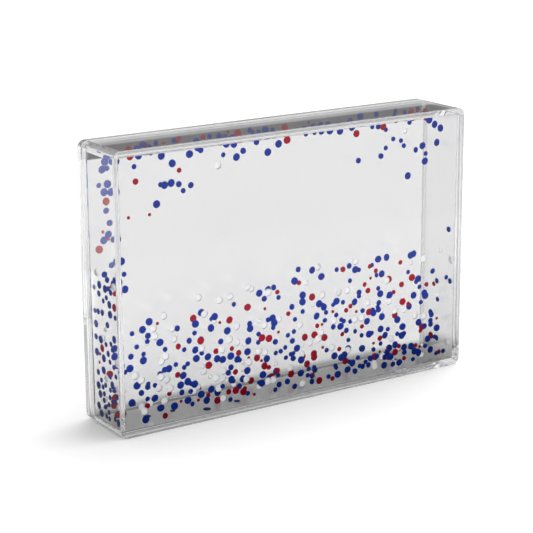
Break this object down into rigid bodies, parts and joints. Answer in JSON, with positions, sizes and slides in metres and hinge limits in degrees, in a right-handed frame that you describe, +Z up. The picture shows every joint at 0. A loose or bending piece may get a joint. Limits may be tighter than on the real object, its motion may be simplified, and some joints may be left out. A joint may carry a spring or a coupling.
{
  "type": "snow globe picture frame",
  "caption": "Free-standing clear block picture frame: a liquid chamber of floating confetti in front of a print slot.",
  "frame": {"origin": "middle of the underside", "axes": "+X along the width, to the right as seen from the front; the window faces -Y; +Z up"},
  "size_m": [0.1588, 0.028, 0.1076],
  "materials": {
    "clear_acrylic": "polished",
    "clear_tape": "satin",
    "clear_liquid": "polished",
    "blue_confetti": "satin",
    "red_confetti": "satin",
    "white_confetti": "satin"
  },
  "bodies": {
    "frame": {"front_shell": "clear_acrylic", "chamber_plate": "clear_acrylic", "fill_plug": "clear_acrylic", "back_panel": "clear_acrylic", "tape_left": "clear_tape", "tape_right": "clear_tape", "tape_bottom": "clear_tape", "liquid_fill": "clear_liquid"},
    "front_confetti": {"front_blue_disc_1": "blue_confetti", "front_blue_disc_2": "blue_confetti", "front_blue_disc_3": "blue_confetti", "front_blue_disc_4": "blue_confetti", "front_blue_disc_5": "blue_confetti", "front_blue_disc_6": "blue_confetti", "front_blue_disc_7": "blue_confetti", "front_red_disc_1": "red_confetti", "front_red_disc_2": "red_confetti", "front_red_disc_3": "red_confetti", "front_white_disc_1": "white_confetti", "front_white_disc_2": "white_confetti"},
    "middle_confetti": {"middle_blue_disc_1": "blue_confetti", "middle_blue_disc_2": "blue_confetti", "middle_blue_disc_3": "blue_confetti", "middle_blue_disc_4": "blue_confetti", "middle_blue_disc_5": "blue_confetti", "middle_blue_disc_6": "blue_confetti", "middle_blue_disc_7": "blue_confetti", "middle_red_disc_1": "red_confetti", "middle_red_disc_2": "red_confetti", "middle_red_disc_3": "red_confetti", "middle_white_disc_1": "white_confetti", "middle_white_disc_2": "white_confetti"},
    "back_confetti": {"back_blue_disc_1": "blue_confetti", "back_blue_disc_2": "blue_confetti", "back_blue_disc_3": "blue_confetti", "back_blue_disc_4": "blue_confetti", "back_blue_disc_5": "blue_confetti", "back_blue_disc_6": "blue_confetti", "back_blue_disc_7": "blue_confetti", "back_red_disc_1": "red_confetti", "back_red_disc_2": "red_confetti", "back_red_disc_3": "red_confetti", "back_white_disc_1": "white_confetti", "back_white_disc_2": "white_confetti"},
    "high_confetti": {"high_blue_disc_1": "blue_confetti", "high_blue_disc_2": "blue_confetti", "high_blue_disc_3": "blue_confetti", "high_blue_disc_4": "blue_confetti", "high_blue_disc_5": "blue_confetti", "high_blue_disc_6": "blue_confetti", "high_blue_disc_7": "blue_confetti", "high_blue_disc_8": "blue_confetti", "high_blue_disc_9": "blue_confetti", "high_red_disc_1": "red_confetti", "high_red_disc_2": "red_confetti", "high_red_disc_3": "red_confetti", "high_white_disc_1": "white_confetti", "high_white_disc_2": "white_confetti"}
  },
  "joints": [
    {"name": "front_drift", "type": "slide", "parent": "frame", "child": "front_confetti", "axis": [0, 0, 1], "range_m": [-0.008, 0.04]},
    {"name": "middle_drift", "type": "slide", "parent": "frame", "child": "middle_confetti", "axis": [0, 0, 1], "range_m": [-0.008, 0.04]},
    {"name": "back_drift", "type": "slide", "parent": "frame", "child": "back_confetti", "axis": [0, 0, 1], "range_m": [-0.008, 0.04]},
    {"name": "high_drift", "type": "slide", "parent": "frame", "child": "high_confetti", "axis": [0, 0, 1], "range_m": [-0.06, 0]}
  ]
}
